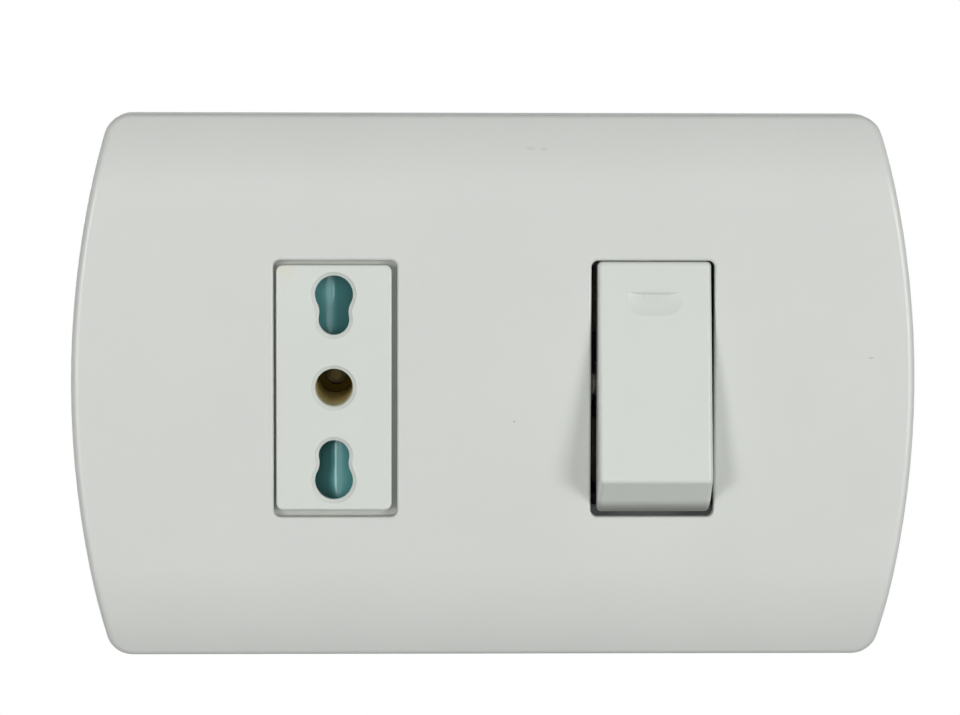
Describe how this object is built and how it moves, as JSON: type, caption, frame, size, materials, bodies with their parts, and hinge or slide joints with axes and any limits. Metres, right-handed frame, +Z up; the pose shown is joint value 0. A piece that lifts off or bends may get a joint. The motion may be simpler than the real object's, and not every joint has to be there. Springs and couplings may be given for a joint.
{
  "type": "switch and socket combination",
  "caption": "White wall plate with a shuttered round-pin socket and a rocker switch, clipped over a support frame that carries the modules and screws to a wall box.",
  "frame": {"origin": "middle of the plate on the wall plane, halfway between the frame's box-screw slots", "axes": "+X to the right seen from the front, +Z up, the front faces -Y"},
  "size_m": [0.1184, 0.0379, 0.0764],
  "materials": {
    "white_plastic": "satin",
    "shell_plastic": "matt",
    "frame_plastic": "matt",
    "dark_plastic": "matt",
    "teal_plastic": "gloss",
    "brass": "satin",
    "plated_steel": "satin",
    "spring_steel": "bright",
    "contact_metal": "bright"
  },
  "bodies": {
    "housing": {"cover_plate": "white_plastic", "support_frame": "frame_plastic", "socket_front": "white_plastic", "socket_base": "shell_plastic", "contact_cover": "shell_plastic", "shutter_spring": "spring_steel", "live_contact": "brass", "neutral_contact": "brass", "earth_contact": "brass", "socket_clamp_live": "plated_steel", "socket_clamp_neutral": "plated_steel", "socket_clamp_earth": "plated_steel", "socket_terminal_screws": "plated_steel", "switch_front": "frame_plastic", "switch_base": "dark_plastic", "common_terminal": "brass", "fixed_contact": "brass", "fixed_tip": "contact_metal", "switch_clamp_common": "plated_steel", "switch_clamp_switched": "plated_steel", "switch_terminal_screws": "plated_steel"},
    "rocker": {"rocker": "white_plastic", "plunger_spring": "spring_steel"},
    "plunger": {"plunger": "dark_plastic"},
    "blade": {"moving_contact": "brass", "moving_tip": "contact_metal"},
    "shutter": {"shutter": "teal_plastic"}
  },
  "joints": [
    {"name": "rocker_tilt", "type": "hinge", "parent": "housing", "child": "rocker", "pos_m": [0.0223, -0.0015, 0], "axis": [1, 0, 0], "range_deg": [0, 11]},
    {"name": "plunger_slide", "type": "slide", "parent": "rocker", "child": "plunger", "axis": [0, -0.9954, 0.0958], "range_m": [0, 0.001], "stiffness_N_per_m": 600, "springref_m": -0.002, "deforming": ["plunger_spring"]},
    {"name": "blade_tilt", "type": "hinge", "parent": "housing", "child": "blade", "pos_m": [0.0223, 0.008, 0], "axis": [1, 0, 0], "range_deg": [-11, 0]},
    {"name": "shutter_turn", "type": "hinge", "parent": "housing", "child": "shutter", "pos_m": [-0.0223, 0, 0], "axis": [0, -1, 0], "range_deg": [0, 27.5], "stiffness_Nm_per_rad": 0.006, "springref_deg": -11.46, "deforming": ["shutter_spring"]}
  ],
  "couplings": [
    {"joint": "blade_tilt", "follows": "rocker_tilt", "ratio": -1}
  ]
}
